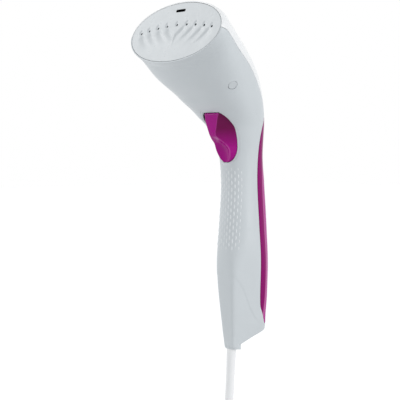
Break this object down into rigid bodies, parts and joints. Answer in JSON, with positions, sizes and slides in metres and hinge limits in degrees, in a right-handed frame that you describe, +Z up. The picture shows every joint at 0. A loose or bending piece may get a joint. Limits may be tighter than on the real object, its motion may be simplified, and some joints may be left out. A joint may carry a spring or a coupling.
{
  "type": "handheld garment steamer",
  "caption": "Upright handheld clothes steamer with a tilted oval steam head, finger trigger, slide-off rear water tank and a mains lead out of the foot.",
  "frame": {"origin": "middle of the grip, inside the handle", "axes": "+Z up along the handle to the head, -Y the way the steam plate faces, +Y the water tank's side, X across, with X = 0 the middle plane"},
  "size_m": [0.1444, 0.1395, 0.6367],
  "materials": {
    "shell_plastic": "satin pale grey moulding with a fine grain",
    "cover_plastic": "smooth near-white moulding",
    "tank_plastic": "glossy magenta, slightly clear",
    "trigger_plastic": "glossy deep magenta",
    "inner_plastic": "plain grey moulding",
    "black_plastic": "plain black moulding",
    "seal_rubber": "soft dark seal",
    "steel": "plain steel",
    "casting": "as cast",
    "plate_enamel": "smooth pale grey coating",
    "pin_brass": "nickel plated brass",
    "board": "green laminate",
    "lens_plastic": "clear grey lens",
    "cord_plastic": "smooth white sheath",
    "wire_brown": "wire sheath",
    "wire_blue": "wire sheath"
  },
  "bodies": {
    "body": {"capacitor": "black_plastic", "chamber_lid": "casting", "circuit_board": "board", "clamp_screw_left": "steel", "clamp_screw_right": "steel", "cord_clamp": "black_plastic", "cord_coil": "cord_plastic", "cord_tie": "black_plastic", "dock_seal": "seal_rubber", "dock_socket": "inner_plastic", "front_shell": "shell_plastic", "handle_panel": "inner_plastic", "heat_shield": "steel", "heater_wire_live": "wire_brown", "heater_wire_neutral": "wire_blue", "heating_element": "steel", "indicator_lamp": "wire_brown", "indicator_lens": "lens_plastic", "mains_cord": "cord_plastic", "microswitch": "black_plastic", "panel_screw_lower": "steel", "panel_screw_upper": "steel", "plate_seal": "seal_rubber", "plug_body": "cord_plastic", "plug_pin_live": "pin_brass", "plug_pin_neutral": "pin_brass", "pump_body": "black_plastic", "pump_bracket": "steel", "pump_inlet_hose": "seal_rubber", "pump_outlet_hose": "seal_rubber", "rear_cover": "cover_plastic", "relay": "black_plastic", "release_spring": "steel", "steam_chamber": "casting", "steam_plate": "plate_enamel", "strain_relief": "cord_plastic", "supply_wire_live": "wire_brown", "supply_wire_neutral": "wire_blue", "switch_bracket": "inner_plastic", "terminal_block": "inner_plastic", "thermal_fuse": "steel", "thermostat": "black_plastic", "trigger_bracket": "inner_plastic", "trigger_pin": "steel", "trigger_spring": "steel"},
    "tank": {"water_tank": "tank_plastic", "door_pin": "steel", "tank_outlet_valve": "inner_plastic"},
    "door": {"tank_filler_door": "trigger_plastic"},
    "trigger": {"trigger": "trigger_plastic"},
    "lever": {"switch_lever": "steel"},
    "release": {"tank_release": "shell_plastic"}
  },
  "joints": [
    {"name": "trigger_hinge", "type": "hinge", "parent": "body", "child": "trigger", "pos_m": [0, -0.0315, 0.0895], "axis": [1, 0, 0], "range_deg": [0, 4.3], "stiffness_Nm_per_rad": 0.6, "springref_deg": -3.44, "deforming": ["trigger_spring"]},
    {"name": "lever_hinge", "type": "hinge", "parent": "body", "child": "lever", "pos_m": [0, -0.0123, 0.06], "axis": [1, 0, 0], "range_deg": [0, 14]},
    {"name": "tank_slide", "type": "slide", "parent": "body", "child": "tank", "axis": [0, 1, 0], "range_m": [0, 0.06]},
    {"name": "door_hinge", "type": "hinge", "parent": "tank", "child": "door", "pos_m": [0, 0.0179, 0.0573], "axis": [1, 0, 0], "range_deg": [0, 100]},
    {"name": "release_slide", "type": "slide", "parent": "body", "child": "release", "axis": [0, -0.8944, -0.4472], "range_m": [0, 0.0044], "stiffness_N_per_m": 300, "springref_m": -0.003, "deforming": ["release_spring"]}
  ],
  "couplings": [
    {"joint": "lever_hinge", "follows": "trigger_hinge", "ratio": 3.16}
  ]
}
